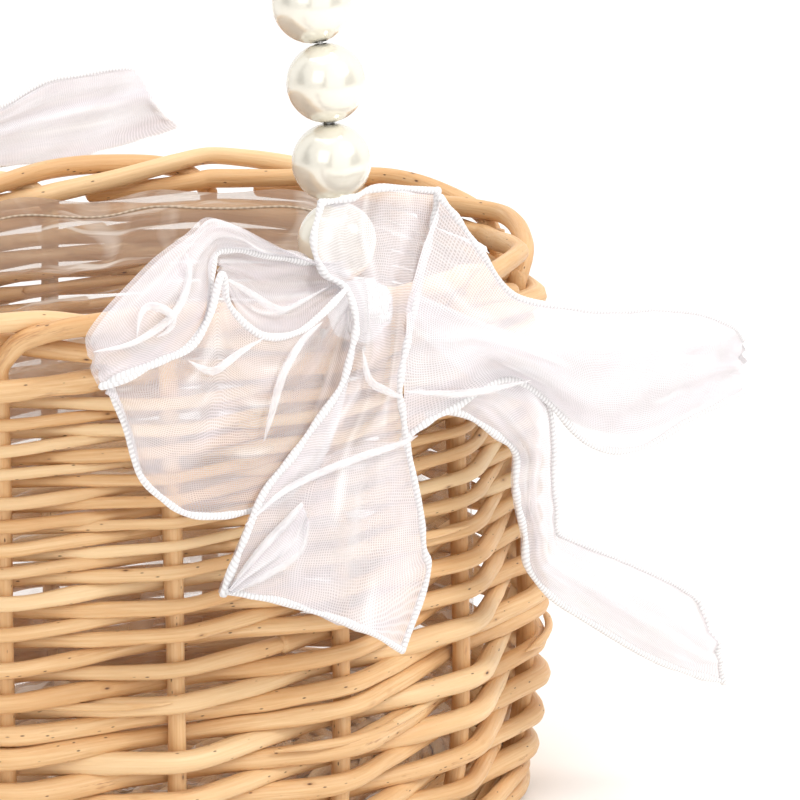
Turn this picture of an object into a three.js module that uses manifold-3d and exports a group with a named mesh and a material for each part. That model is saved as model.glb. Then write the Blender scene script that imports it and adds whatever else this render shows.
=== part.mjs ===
// Flower girl basket: an oval willow basket with a film liner, a swinging handle of
// faux pearls on a wire, and an organza bow at each foot of the handle.
// Millimetres, +Z up. The origin is the centre of the base's underside. X runs along the
// oval's long axis, and the handle's feet are on the Y axis.
import * as THREE from 'three';
import Module from 'manifold-3d';

// ---------------------------------------------------------------- driving dimensions
const RIM_A = 99.85;          // half length of the oval through the stakes, at the border
const RIM_B = 72.5;           // half width of the same oval
const STAKE_COUNT = 14;
const STAKE_R = 1.9;
const STAKE_PHASE = 8.5;      // place of the first stake from +X, in stake spacings
// how far each stake stands from even spacing: the third and tenth clear the handle's pins
const STAKE_SHIFT = [2.0, -2.9, -3.0, -3.5, -3.0, -1.2, -2.0, -0.5, -2.6, -3.0, -3.2, -1.4,
  -0.7, 0.8];
const GAP = 0.3;              // clearance left between woven pieces

const BAND_COUNT = 9;         // groups of weaver rows above the foot rows
const BAND_Z0 = 9;
const BAND_HEIGHT = 12;
const BAND_HALF = 1.3;        // half thickness of a weaver row
const SWAY = STAKE_R + BAND_HALF + GAP;   // how far a weaver swings past a stake
const STEPS_PER_STAKE = 4;

const PLATE_Z = 6.5;          // thickness of the base weave
const PLATE_INSET = -0.8;
const FOOT_Z = 3.5;           // height of a stake's foot inside the base
const CROSS_X = [-62, -22, 22, 62];
const LONG_Y = [-18, 18];

const LINER_TOP = 121;
const LINER_INSET = -9.4;
const LINER_T = 0.7;

const PEARL_R = 7.85;
const PEARL_PITCH = 16;
const BORE_R = 1.6;
const WIRE_R = 0.6;
const PIN_Z = 118.6;          // the handle's hinge line, under the border
const PIN_Y = 78.5;           // outer end of each wire pin
const LEG_Y = 66.6;           // the wire's legs, inside the border
const LOW_PEARL = { y: 70.7, z: 139.4 };
// angle from the vertical of each step between pearls, from the lowest to the top one
const ARCH_DEG = [5.7, 5.7, 15.3, 29, 43, 57, 71, 85];

// how far the wall stands outside the border's oval, by height
const WALL = [[0, -2.2], [9, -0.2], [21, 2.2], [33, 2.9], [45, 3.0], [57, 2.7], [69, 2.3],
  [81, 1.8], [93, 1.2], [105, 0.6], [117, 0.1], [123, 0]];

// a border rod from its upright: stakes passed, height, distance outside the oval
const BORDER = [[0, 119, 0], [0.04, 121.5, 0.5], [0.11, 124, 1.2], [0.2, 125.5, 1.9],
  [0.35, 126.8, 2.2], [0.6, 127.7, 2.2], [0.8, 128.1, 1.9], [1.0, 128.1, 0.7],
  [1.2, 127.7, -1.4], [1.35, 127, -2.5], [1.6, 125.5, -3], [1.85, 124.3, -3], [2, 123.6, -3],
  [2.1, 123.1, -2.9], [2.25, 122.4, -1.9], [2.5, 121.5, 0.2], [2.72, 120.7, 2.4]];

// ---------------------------------------------------------------- materials
const COLOURS = {
  wicker: [0xd9ad72, 0.7], base: [0xc79a60, 0.8], film: [0xe6e0d6, 0.3],
  wire: [0xd8d6d0, 0.3], pearl: [0xf4eee2, 0.25], ribbon: [0xfbf5f6, 0.6],
};
const material = {};
for (const [slot, [color, roughness]] of Object.entries(COLOURS)) {
  material[slot] = new THREE.MeshStandardMaterial({ name: slot, color, roughness });
}

const basket = new THREE.Group();
basket.name = 'flower_girl_basket';

// Adds one closed solid, turned so that its faces point outwards.
function addSolid(name, slot, points, faces) {
  let volume = 0;
  for (const [a, b, c] of faces) {
    volume += points[a].dot(new THREE.Vector3().crossVectors(points[b], points[c]));
  }
  const index = faces.flatMap(([a, b, c]) => (volume < 0 ? [a, c, b] : [a, b, c]));
  const geometry = new THREE.BufferGeometry();
  geometry.setAttribute('position',
    new THREE.Float32BufferAttribute(points.flatMap((p) => [p.x, p.y, p.z]), 3));
  geometry.setIndex(index);
  geometry.computeVertexNormals();
  const mesh = new THREE.Mesh(geometry, material[slot]);
  mesh.name = name;
  basket.add(mesh);
  return mesh;
}

// Faces between rings of equal size. A closed loop joins the last ring to the first.
function ringFaces(rings, size, loop) {
  const faces = [];
  const spans = loop ? rings : rings - 1;
  for (let i = 0; i < spans; i += 1) {
    const a = i * size;
    const b = ((i + 1) % rings) * size;
    for (let j = 0; j < size; j += 1) {
      const k = (j + 1) % size;
      faces.push([a + j, b + j, b + k], [a + j, b + k, a + k]);
    }
  }
  return faces;
}

// Faces of the two flat ends of an open chain of rings.
function endFaces(rings, size) {
  const faces = [];
  const last = (rings - 1) * size;
  for (let j = 1; j < size - 1; j += 1) {
    faces.push([0, j, j + 1], [last, last + j + 1, last + j]);
  }
  return faces;
}

// ---------------------------------------------------------------- the oval
const OVAL_STEPS = 1440;
const oval = [];
let perimeter = 0;
for (let i = 0; i <= OVAL_STEPS; i += 1) {
  const angle = (i / OVAL_STEPS) * Math.PI * 2;
  const x = RIM_A * Math.cos(angle);
  const y = RIM_B * Math.sin(angle);
  if (i > 0) perimeter += Math.hypot(x - oval[i - 1].x, y - oval[i - 1].y);
  oval.push({ x, y, angle, s: perimeter });
}

function wallOut(z) {
  if (z <= WALL[0][0]) return WALL[0][1];
  for (let i = 1; i < WALL.length; i += 1) {
    const [z0, d0] = WALL[i - 1];
    const [z1, d1] = WALL[i];
    if (z <= z1) return d0 + ((d1 - d0) * (z - z0)) / (z1 - z0);
  }
  return WALL[WALL.length - 1][1];
}

// A point s mm round the oval from +X, d mm outside it, at height z.
function onOval(s, d, z) {
  const want = ((s % perimeter) + perimeter) % perimeter;
  let low = 0;
  let high = OVAL_STEPS;
  while (high - low > 1) {
    const middle = (low + high) >> 1;
    if (oval[middle].s > want) high = middle;
    else low = middle;
  }
  const part = (want - oval[low].s) / (oval[high].s - oval[low].s);
  const angle = oval[low].angle + part * (oval[high].angle - oval[low].angle);
  const x = RIM_A * Math.cos(angle);
  const y = RIM_B * Math.sin(angle);
  const normal = new THREE.Vector2(x / RIM_A ** 2, y / RIM_B ** 2).normalize();
  return new THREE.Vector3(x + normal.x * d, y + normal.y * d, z);
}

// Where the wall passes stake number t, which may be a fraction between two stakes.
function stakeAt(t) {
  const k = Math.floor(t);
  const shift = (n) => STAKE_SHIFT[((n % STAKE_COUNT) + STAKE_COUNT) % STAKE_COUNT];
  const between = shift(k) + (t - k) * (shift(k + 1) - shift(k));
  return ((t + STAKE_PHASE) / STAKE_COUNT) * perimeter + between;
}

// A round rod along a path, with flat ends.
function addRod(name, slot, path, radius, sides) {
  const points = [];
  let side = null;
  path.forEach((centre, i) => {
    const before = path[Math.max(i - 1, 0)];
    const after = path[Math.min(i + 1, path.length - 1)];
    const along = after.clone().sub(before).normalize();
    if (!side) {
      const axis = Math.abs(along.z) < 0.9 ? new THREE.Vector3(0, 0, 1) : new THREE.Vector3(1, 0, 0);
      side = new THREE.Vector3().crossVectors(along, axis);
    }
    side.addScaledVector(along, -side.dot(along)).normalize();
    const other = new THREE.Vector3().crossVectors(along, side);
    for (let j = 0; j < sides; j += 1) {
      const turn = (j / sides) * Math.PI * 2;
      points.push(centre.clone()
        .addScaledVector(side, radius * Math.cos(turn))
        .addScaledVector(other, radius * Math.sin(turn)));
    }
  });
  const faces = ringFaces(path.length, sides, false).concat(endFaces(path.length, sides));
  return addSolid(name, slot, points, faces);
}

// ---------------------------------------------------------------- stakes and border
function two(number) {
  return String(number).padStart(2, '0');
}

for (let k = 0; k < STAKE_COUNT; k += 1) {
  const s = stakeAt(k);
  const path = [[-16, FOOT_Z], [-6, FOOT_Z], [-3, 4.6], [-1.2, 7]].map(([d, z]) => onOval(s, d, z));
  for (let band = 0; band <= BAND_COUNT; band += 1) {
    const z = BAND_Z0 + band * BAND_HEIGHT;
    path.push(onOval(s, wallOut(z), z));
  }
  for (const [passed, z, out] of BORDER) path.push(onOval(stakeAt(k + passed), out, z));
  addRod(`stake_${two(k + 1)}`, 'wicker', path, STAKE_R, 6);
}

// ---------------------------------------------------------------- woven wall
// A ring of weavers between two heights. sway(s) gives its distance outside the wall line.
function addBand(name, z0, z1, sway) {
  const count = STAKE_COUNT * STEPS_PER_STAKE;
  const points = [];
  for (let i = 0; i < count; i += 1) {
    const s = stakeAt(i / STEPS_PER_STAKE);
    const d = sway(i / STEPS_PER_STAKE);
    points.push(onOval(s, wallOut(z0) + d - BAND_HALF, z0));
    points.push(onOval(s, wallOut(z0) + d + BAND_HALF, z0));
    points.push(onOval(s, wallOut(z1) + d + BAND_HALF, z1));
    points.push(onOval(s, wallOut(z1) + d - BAND_HALF, z1));
  }
  return addSolid(name, 'wicker', points, ringFaces(count, 4, true));
}

addBand('foot_rows', 0, BAND_Z0 - GAP, () => SWAY);
for (let band = 0; band < BAND_COUNT; band += 1) {
  const z0 = BAND_Z0 + band * BAND_HEIGHT;
  const side = band % 2 === 0 ? SWAY : -SWAY;
  addBand(`weave_${two(band + 1)}`, z0, z0 + BAND_HEIGHT - GAP,
    (stakes) => side * Math.cos(Math.PI * stakes));
}

// ---------------------------------------------------------------- base
const wasm = await Module();
wasm.setup();

function toManifold(points, faces) {
  let volume = 0;
  for (const [a, b, c] of faces) {
    volume += points[a].dot(new THREE.Vector3().crossVectors(points[b], points[c]));
  }
  const flip = volume < 0;
  return new wasm.Manifold(new wasm.Mesh({
    numProp: 3,
    vertProperties: new Float32Array(points.flatMap((p) => [p.x, p.y, p.z])),
    triVerts: new Uint32Array(faces.flatMap(([a, b, c]) => (flip ? [a, c, b] : [a, b, c]))),
  }));
}

const plateSteps = STAKE_COUNT * STEPS_PER_STAKE;
const platePoints = [];
for (const z of [0, PLATE_Z]) {
  for (let i = 0; i < plateSteps; i += 1) {
    const s = stakeAt((i + 0.5) / STEPS_PER_STAKE);
    platePoints.push(onOval(s, PLATE_INSET, z));
  }
}
let plate = toManifold(platePoints,
  ringFaces(2, plateSteps, false).concat(endFaces(2, plateSteps)));

function box(x0, y0, z0, x1, y1, z1) {
  return wasm.Manifold.cube([x1 - x0, y1 - y0, z1 - z0]).translate([x0, y0, z0]);
}

// Each stake's foot sits in its own radial hole, open upwards where the stake turns up.
for (let k = 0; k < STAKE_COUNT; k += 1) {
  const s = stakeAt(k);
  const inner = onOval(s, -16.4, FOOT_Z);
  const outer = onOval(s, 4, FOOT_Z);
  const heading = (Math.atan2(outer.y - inner.y, outer.x - inner.x) * 180) / Math.PI;
  const reach = inner.distanceTo(outer);
  const hole = wasm.Manifold.cylinder(reach, STAKE_R + GAP, STAKE_R + GAP, 8)
    .rotate([0, 90, 0]);
  const slot = box(8.4, -STAKE_R - GAP, 0, reach, STAKE_R + GAP, 6);
  plate = plate.subtract(hole.add(slot)
    .rotate([0, 0, heading]).translate([inner.x, inner.y, FOOT_Z]));
}

function halfChord(x, a, b) {
  return b * Math.sqrt(1 - (x / a) ** 2);
}

const crossTop = 3.0;
const longBottom = 3.4;
CROSS_X.forEach((x, i) => {
  const half = halfChord(x, RIM_A, RIM_B) - 21;
  plate = plate.subtract(box(x - 2.5, -half - GAP, -1, x + 2.5, half + GAP, crossTop + GAP));
  const stick = new THREE.Mesh(new THREE.BoxGeometry(4.4, 2 * half, crossTop), material.base);
  stick.geometry.translate(x, 0, crossTop / 2);
  stick.name = `base_cross_${i + 1}`;
  basket.add(stick);
});
LONG_Y.forEach((y, i) => {
  const half = halfChord(y, RIM_B, RIM_A) - 20;
  plate = plate.subtract(box(-half - GAP, y - 2.5, crossTop, half + GAP, y + 2.5, PLATE_Z + 1));
  const stick = new THREE.Mesh(new THREE.BoxGeometry(2 * half, 4.4, 2.9), material.base);
  stick.geometry.translate(0, y, longBottom + 1.45);
  stick.name = `base_long_${i + 1}`;
  basket.add(stick);
});

const cut = plate.getMesh();
const plateGeometry = new THREE.BufferGeometry();
plateGeometry.setAttribute('position', new THREE.Float32BufferAttribute(cut.vertProperties, 3));
plateGeometry.setIndex([...cut.triVerts]);
plateGeometry.computeVertexNormals();
const plateMesh = new THREE.Mesh(plateGeometry, material.base);
plateMesh.name = 'base_weave';
basket.add(plateMesh);

// ---------------------------------------------------------------- liner
const linerProfile = [[-15, 7], [LINER_INSET, 14], [LINER_INSET, LINER_TOP],
  [LINER_INSET - LINER_T, LINER_TOP], [LINER_INSET - LINER_T, 14.4], [-15.4, 7 + LINER_T]];
const linerSteps = 48;
const linerPoints = [];
for (const [d, z] of linerProfile) {
  for (let i = 0; i < linerSteps; i += 1) {
    linerPoints.push(onOval((i / linerSteps) * perimeter, d, z));
  }
}
addSolid('liner', 'film', linerPoints,
  ringFaces(linerProfile.length, linerSteps, false)
    .concat(endFaces(linerProfile.length, linerSteps)));

// ---------------------------------------------------------------- handle
// Pearl centres from one foot over the top to the other, in the YZ plane.
const rise = [{ ...LOW_PEARL, y: -LOW_PEARL.y }];
for (const degrees of ARCH_DEG) {
  const angle = (degrees * Math.PI) / 180;
  const last = rise[rise.length - 1];
  rise.push({ y: last.y + PEARL_PITCH * Math.sin(angle), z: last.z + PEARL_PITCH * Math.cos(angle) });
}
const topShift = rise[rise.length - 1].y;
const pearls = rise.map(({ y, z }, i) => new THREE.Vector3(0, y - (topShift * i) / (rise.length - 1), z));
for (let i = pearls.length - 2; i >= 0; i -= 1) {
  pearls.push(new THREE.Vector3(0, -pearls[i].y, pearls[i].z));
}

// Below the lowest pearl the wire leans in to its leg.
const lean = (13.7 * Math.PI) / 180;
const belowFirst = pearls[0].clone()
  .add(new THREE.Vector3(0, PEARL_PITCH * Math.sin(lean), -PEARL_PITCH * Math.cos(lean)));
const mirrored = (p) => new THREE.Vector3(0, -p.y, p.z);
const chain = [belowFirst, ...pearls, mirrored(belowFirst)];

// The middle of the curve between chain points i and i + 1.
function halfway(i) {
  const at = (n) => chain[Math.min(Math.max(n, 0), chain.length - 1)];
  return at(i).clone().add(at(i + 1)).multiplyScalar(9)
    .sub(at(i - 1)).sub(at(i + 2))
    .divideScalar(16);
}

const wireFoot = [[-PIN_Y, PIN_Z], [-LEG_Y - 0.9, PIN_Z], [-LEG_Y - 0.2, PIN_Z + 0.2],
  [-LEG_Y, PIN_Z + 0.9], [-LEG_Y, 125]].map(([y, z]) => new THREE.Vector3(0, y, z));
const wirePath = [...wireFoot];
for (let i = 1; i < chain.length - 1; i += 1) {
  wirePath.push(halfway(i - 1), chain[i]);
}
wirePath.push(halfway(chain.length - 2));
for (let i = wireFoot.length - 1; i >= 0; i -= 1) wirePath.push(mirrored(wireFoot[i]));
addRod('handle_wire', 'wire', wirePath, WIRE_R, 6);

// A pearl is a bored ball turned about the wire's direction.
const boreHalf = Math.sqrt(PEARL_R ** 2 - BORE_R ** 2);
const boreTurn = Math.asin(BORE_R / PEARL_R);
const PEARL_SIDES = 12;
const pearlProfile = [];
for (let i = 0; i <= 6; i += 1) {
  const turn = boreTurn + (i / 6) * (Math.PI - 2 * boreTurn);
  pearlProfile.push([PEARL_R * Math.sin(turn), PEARL_R * Math.cos(turn)]);
}
pearls.forEach((centre, i) => {
  const along = chain[i + 2].clone().sub(chain[i]).normalize();
  const side = new THREE.Vector3(1, 0, 0);
  const other = new THREE.Vector3().crossVectors(along, side);
  const points = [];
  for (let j = 0; j < PEARL_SIDES; j += 1) {
    const turn = (j / PEARL_SIDES) * Math.PI * 2;
    const out = side.clone().multiplyScalar(Math.cos(turn)).addScaledVector(other, Math.sin(turn));
    for (const [r, h] of pearlProfile) {
      points.push(centre.clone().addScaledVector(out, r).addScaledVector(along, h));
    }
  }
  addSolid(`pearl_${two(i + 1)}`, 'pearl', points,
    ringFaces(PEARL_SIDES, pearlProfile.length, true));
});

// ---------------------------------------------------------------- bows
const RIBBON_T = 0.8;

// A ribbon along a path. Each station is its centre and half its width as a vector.
function addRibbon(name, stations, turned) {
  const points = [];
  stations.forEach(([centre, half], i) => {
    const before = new THREE.Vector3(...stations[Math.max(i - 1, 0)][0]);
    const after = new THREE.Vector3(...stations[Math.min(i + 1, stations.length - 1)][0]);
    const width = new THREE.Vector3(...half);
    const out = after.sub(before).cross(width).normalize().multiplyScalar(RIBBON_T / 2);
    const middle = new THREE.Vector3(...centre);
    points.push(middle.clone().sub(width).sub(out));
    points.push(middle.clone().add(width).sub(out));
    points.push(middle.clone().add(width).add(out));
    points.push(middle.clone().sub(width).add(out));
  });
  if (turned) points.forEach((p) => p.set(-p.x, -p.y, p.z));
  addSolid(name, 'ribbon', points,
    ringFaces(stations.length, 4, false).concat(endFaces(stations.length, 4)));
}

const LOOP_LEFT = [
  [[-11.4, -86.6, 129], [0, 0, 5]], [[-30, -93, 127], [0, 0, 15]],
  [[-55, -97, 124], [0, 0, 20]], [[-74, -95, 124], [0, 0, 20]],
  [[-80, -90, 125], [0, 0, 20]], [[-74, -85.5, 126], [0, 0, 20]],
  [[-55, -84, 128], [0, 0, 20]], [[-30, -83, 129], [0, 0, 14]],
  [[-11.4, -82.4, 129], [0, 0, 5]],
];
const LOOP_RIGHT = [
  [[7.6, -86.6, 129], [0, 0, 5]], [[30, -92, 124], [3, 0, 15]],
  [[60, -95, 115], [5, 0, 19]], [[88, -94, 106], [5, 0, 19]],
  [[98, -88, 102], [5, 0, 19]], [[88, -83.5, 104], [5, 0, 19]],
  [[60, -83, 113], [5, 0, 19]], [[30, -82.6, 123], [3, 0, 14]],
  [[7.6, -82.4, 129], [0, 0, 5]],
];
const TAIL_LEFT = [
  [[-4, -85, 118], [5, 0, 0]], [[-8, -88, 108], [12, 0, 2]],
  [[-14, -91, 92], [19, 0, 4]], [[-20, -92, 74], [20, 0, 5]],
  [[-22, -91, 60], [20, 0, 6]],
];
const TAIL_RIGHT = [
  [[6.5, -85, 118], [4, 0, 1]], [[18, -88, 107], [6, 0, 5]],
  [[32, -90, 92], [7, 0, 6]], [[44, -89, 76], [6, 0, 7]],
  [[64, -88, 58], [5, 0, 8]], [[94, -86, 38], [5, 0, 8]],
];

for (const end of ['front', 'back']) {
  const turned = end === 'back';
  const points = [];
  const rings = 7;
  const around = 12;
  for (let i = 1; i <= rings; i += 1) {
    const tip = (i / (rings + 1)) * Math.PI;
    for (let j = 0; j < around; j += 1) {
      const turn = (j / around) * Math.PI * 2;
      points.push(new THREE.Vector3(
        -2 + 9 * Math.cos(tip),
        -84.2 + 6.4 * Math.sin(tip) * Math.cos(turn),
        127 + 8 * Math.sin(tip) * Math.sin(turn)));
    }
  }
  if (turned) points.forEach((p) => p.set(-p.x, -p.y, p.z));
  addSolid(`${end}_bow_knot`, 'ribbon', points,
    ringFaces(rings, around, false).concat(endFaces(rings, around)));
  addRibbon(`${end}_bow_loop_left`, LOOP_LEFT, turned);
  addRibbon(`${end}_bow_loop_right`, LOOP_RIGHT, turned);
  addRibbon(`${end}_bow_tail_left`, TAIL_LEFT, turned);
  addRibbon(`${end}_bow_tail_right`, TAIL_RIGHT, turned);
}

export default basket;
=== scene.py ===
import math
import random

import bpy
import numpy as np
from mathutils import Matrix, Vector


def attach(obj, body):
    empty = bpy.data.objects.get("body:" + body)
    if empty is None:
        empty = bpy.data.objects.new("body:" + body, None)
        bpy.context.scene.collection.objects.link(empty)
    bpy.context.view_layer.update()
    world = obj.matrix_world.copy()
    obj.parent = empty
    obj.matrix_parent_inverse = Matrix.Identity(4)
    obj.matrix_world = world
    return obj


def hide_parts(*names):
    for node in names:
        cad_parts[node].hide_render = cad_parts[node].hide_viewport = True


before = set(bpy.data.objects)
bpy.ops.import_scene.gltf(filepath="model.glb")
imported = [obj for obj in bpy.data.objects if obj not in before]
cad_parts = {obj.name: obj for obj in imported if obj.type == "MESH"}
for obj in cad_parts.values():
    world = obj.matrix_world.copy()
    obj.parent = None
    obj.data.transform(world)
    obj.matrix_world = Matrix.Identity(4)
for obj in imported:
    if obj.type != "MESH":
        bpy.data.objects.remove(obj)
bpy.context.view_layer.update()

MM = 0.001

# ---------------------------------------------------------------- dimensions, in mm
RIM_A, RIM_B = 99.85, 72.5
STAKES = 14
STAKE_R = 1.95
STAKE_PHASE = 8.5
STAKE_SHIFT = [2.0, -2.9, -3.0, -3.5, -3.0, -1.2, -2.0, -0.5, -2.6, -3.0, -3.2, -1.4, -0.7, 0.8]
WALL_Z = [0, 9, 21, 33, 45, 57, 69, 81, 93, 105, 117, 123]
WALL_OUT = [-2.2, -0.2, 2.2, 2.9, 3.0, 2.7, 2.3, 1.8, 1.2, 0.6, 0.1, 0]
BAND_Z0, BAND_HEIGHT, BANDS = 9, 12, 9
FOOT_Z = 3.5
# a border rod from its upright: stakes passed, height, distance outside the oval
BORDER = [[0, 119, 0], [0.04, 121.5, 0.5], [0.11, 124, 1.2], [0.2, 125.5, 1.9],
          [0.35, 126.8, 2.2], [0.6, 127.7, 2.2], [0.8, 128.1, 1.9], [1.0, 128.1, 0.7],
          [1.2, 127.7, -1.4], [1.35, 127, -2.5], [1.6, 125.5, -3], [1.85, 124.3, -3], [2, 123.6, -3],
          [2.1, 123.1, -2.9], [2.25, 122.4, -1.9], [2.5, 121.5, 0.2], [2.72, 120.7, 2.4]]
# how far the hand-made rim rises or dips near each stake, fading out down to FADE_Z
RIM_RISE = [3.4, 2.4, 0.2, -3, -6, -7.2, -5.6, -2.4, -3.4, -2.6, -1, 0, 1, 2.4]
FADE_Z, FULL_Z = 96, 124
PEARL_R, PEARL_PITCH, BORE_R = 7.97, 16, 1.3
WIRE_R = 0.6
PIN_Z, PIN_Y, LEG_Y = 118.6, 78.5, 66.6
ARCH_DEG = [5.7, 5.7, 15.3, 29, 43, 57, 71, 85]
LOW_PEARL_Y, LOW_PEARL_Z, FOOT_LEAN_DEG = 70.7, 139.4, 13.7

rng = random.Random(7)

# ---------------------------------------------------------------- the oval
turn = np.linspace(0, 2 * math.pi, 4001)
ring_x, ring_y = RIM_A * np.cos(turn), RIM_B * np.sin(turn)
ring_s = np.concatenate([[0], np.cumsum(np.hypot(np.diff(ring_x), np.diff(ring_y)))])
PERIMETER = ring_s[-1]


def on_oval(s, out, z):
    """Points s mm round the oval from +X, out mm outside it, at height z."""
    s, out, z = np.broadcast_arrays(np.asarray(s, float), np.asarray(out, float),
                                    np.asarray(z, float))
    angle = np.interp(s % PERIMETER, ring_s, turn)
    x, y = RIM_A * np.cos(angle), RIM_B * np.sin(angle)
    nx, ny = x / RIM_A ** 2, y / RIM_B ** 2
    size = np.hypot(nx, ny)
    return np.stack([x + nx / size * out, y + ny / size * out, z], -1)


def stake_at(t):
    """Where the wall passes stake number t, which may be a fraction between two stakes."""
    t = np.asarray(t, float)
    k = np.floor(t).astype(int)
    shift = np.array(STAKE_SHIFT)
    a, b = shift[k % STAKES], shift[(k + 1) % STAKES]
    return (t + STAKE_PHASE) / STAKES * PERIMETER + a + (t - k) * (b - a)


def wall_out(z):
    """How far outside the oval the wall stands at height z."""
    return np.interp(z, WALL_Z, WALL_OUT)


def rim_rise(t, z):
    """How far the wall is lifted at stake number t and height z."""
    share = np.clip((np.asarray(z) - FADE_Z) / (FULL_Z - FADE_Z), 0, 1)
    return np.interp(np.asarray(t) % STAKES, np.arange(STAKES + 1), RIM_RISE + RIM_RISE[:1]) * share


def chord_sag(t):
    """How far inside the oval a straight rod lies between two stakes."""
    angle = np.interp(stake_at(t) % PERIMETER, ring_s, turn)
    bend = RIM_A * RIM_B / ((RIM_A * np.sin(angle)) ** 2 + (RIM_B * np.cos(angle)) ** 2) ** 1.5
    part = np.asarray(t) - np.floor(t)
    return (PERIMETER / STAKES) ** 2 / 8 * bend * 4 * part * (1 - part)


def smooth(path, reach):
    """Rounds a path off by averaging it over a few steps each way."""
    padded = np.concatenate([path[:1]] * reach + [path] + [path[-1:]] * reach)
    total = sum(padded[i:i + len(path)] for i in range(2 * reach + 1))
    return total / (2 * reach + 1)


def ripple(x, seed, waves=5, low=0.5, high=3.0):
    """A smooth wandering line of about unit height, the same for the same seed."""
    pick = random.Random(seed)
    total = np.zeros_like(np.asarray(x, float))
    for _ in range(waves):
        rate = pick.uniform(low, high)
        total += math.sqrt(2 / waves) * np.sin(rate * np.asarray(x) + pick.uniform(0, 6.283))
    return total


def spline(points, steps):
    """A Catmull-Rom curve along the first axis, through every point."""
    p = np.asarray(points, float)
    p = np.concatenate([2 * p[:1] - p[1:2], p, 2 * p[-1:] - p[-2:-1]])
    t = np.arange(steps) / steps
    t = t.reshape((-1,) + (1,) * (p.ndim - 1))
    parts = []
    for a, b, c, d in zip(p, p[1:], p[2:], p[3:]):
        parts.append(0.5 * (2 * b + (c - a) * t + (2 * a - 5 * b + 4 * c - d) * t ** 2
                            + (3 * b - a - 3 * c + d) * t ** 3))
    return np.concatenate(parts + [p[-2][None]])


# ---------------------------------------------------------------- mesh building
class Build:
    """Gathers tubes and sheets, then makes one object of them."""

    def __init__(self):
        self.verts, self.faces, self.grain, self.tone = [], [], [], []

    def add(self, verts, faces, grain, tone):
        base = sum(len(v) for v in self.verts)
        self.verts.append(np.asarray(verts, float))
        self.faces.extend([tuple(base + i for i in f) for f in faces])
        self.grain.append(np.asarray(grain, float))
        tone = np.asarray(tone, float)
        self.tone.append(np.tile(tone, (len(verts), 1)) if tone.ndim == 1 else tone)

    def tube(self, path, radius, sides=10, tone=(0.5, 0.5, 0, 0), cut=(1.0, 1.0)):
        """A rod along a path in mm. cut gives the length of each rounded end, in radii."""
        path = np.asarray(path, float)
        radius = np.broadcast_to(np.asarray(radius, float), len(path)).copy()
        along = np.gradient(path, axis=0)
        along /= np.linalg.norm(along, axis=1)[:, None]
        ends = []
        for end, length in zip((0, -1), cut):
            sign = -1 if end == 0 else 1
            cap = []
            for reach, size in ((0.45, 0.9), (0.8, 0.62), (1.0, 0.25)):
                cap.append((path[end] + sign * along[end] * radius[end] * length * reach,
                            radius[end] * size, along[end]))
            ends.append(cap)
        path = np.concatenate([[c[0] for c in ends[0][::-1]], path, [c[0] for c in ends[1]]])
        radius = np.concatenate([[c[1] for c in ends[0][::-1]], radius, [c[1] for c in ends[1]]])
        along = np.concatenate([[c[2] for c in ends[0][::-1]], along, [c[2] for c in ends[1]]])
        count = len(path)
        side = np.zeros_like(path)
        first = np.cross(along[0], (0, 0, 1) if abs(along[0][2]) < 0.9 else (1, 0, 0))
        side[0] = first / np.linalg.norm(first)
        for i in range(1, count):
            v = side[i - 1] - along[i] * (side[i - 1] @ along[i])
            side[i] = v / np.linalg.norm(v)
        other = np.cross(along, side)
        angle = np.arange(sides) / sides * 2 * math.pi
        ring = (side[:, None] * np.cos(angle)[None, :, None]
                + other[:, None] * np.sin(angle)[None, :, None])
        verts = path[:, None] + ring * radius[:, None, None]
        step = np.concatenate([[0], np.cumsum(np.linalg.norm(np.diff(path, axis=0), axis=1))])
        offset = tone[0] * 977 + tone[1] * 131
        grain = np.stack(np.broadcast_arrays(
            step[:, None] + offset * 7,
            np.cos(angle)[None] * radius[:, None] + offset,
            np.sin(angle)[None] * radius[:, None]), -1)
        faces = []
        for i in range(count - 1):
            for j in range(sides):
                k = (j + 1) % sides
                a, b = i * sides, (i + 1) * sides
                faces.append((a + j, a + k, b + k, b + j))
        faces.append(tuple(range(sides))[::-1])
        faces.append(tuple((count - 1) * sides + j for j in range(sides)))
        self.add(verts.reshape(-1, 3), faces, grain.reshape(-1, 3), tone)

    def grid(self, points, coords, tone=(0.5, 0.5, 0, 0)):
        """An open sheet through rows of points in mm."""
        rows, cols = points.shape[:2]
        faces = []
        for i in range(rows - 1):
            for j in range(cols - 1):
                a, b = i * cols + j, (i + 1) * cols + j
                faces.append((a, a + 1, b + 1, b))
        self.add(points.reshape(-1, 3), faces, coords.reshape(-1, 3), tone)

    def make(self, name, material):
        """One smooth-shaded object from everything gathered so far."""
        mesh = bpy.data.meshes.new(name)
        verts = np.concatenate(self.verts) * MM
        mesh.from_pydata(verts.tolist(), [], self.faces)
        grain = mesh.attributes.new("grain", "FLOAT_VECTOR", "POINT")
        grain.data.foreach_set("vector", np.concatenate(self.grain).astype(np.float32).ravel())
        tone = mesh.attributes.new("tone", "FLOAT_COLOR", "POINT")
        tone.data.foreach_set("color", np.concatenate(self.tone).astype(np.float32).ravel())
        mesh.materials.append(material)
        mesh.polygons.foreach_set("use_smooth", [True] * len(mesh.polygons))
        mesh.update()
        obj = bpy.data.objects.new(name, mesh)
        bpy.context.collection.objects.link(obj)
        return obj


# the tone of a piece that has no rod colour of its own
PLAIN = (0.5, 0.5, 0, 1)


def settle(piece, body, node=None):
    """Says what a piece moves with and which node it stands for."""
    if node:
        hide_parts(node)
    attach(piece, body)


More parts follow.
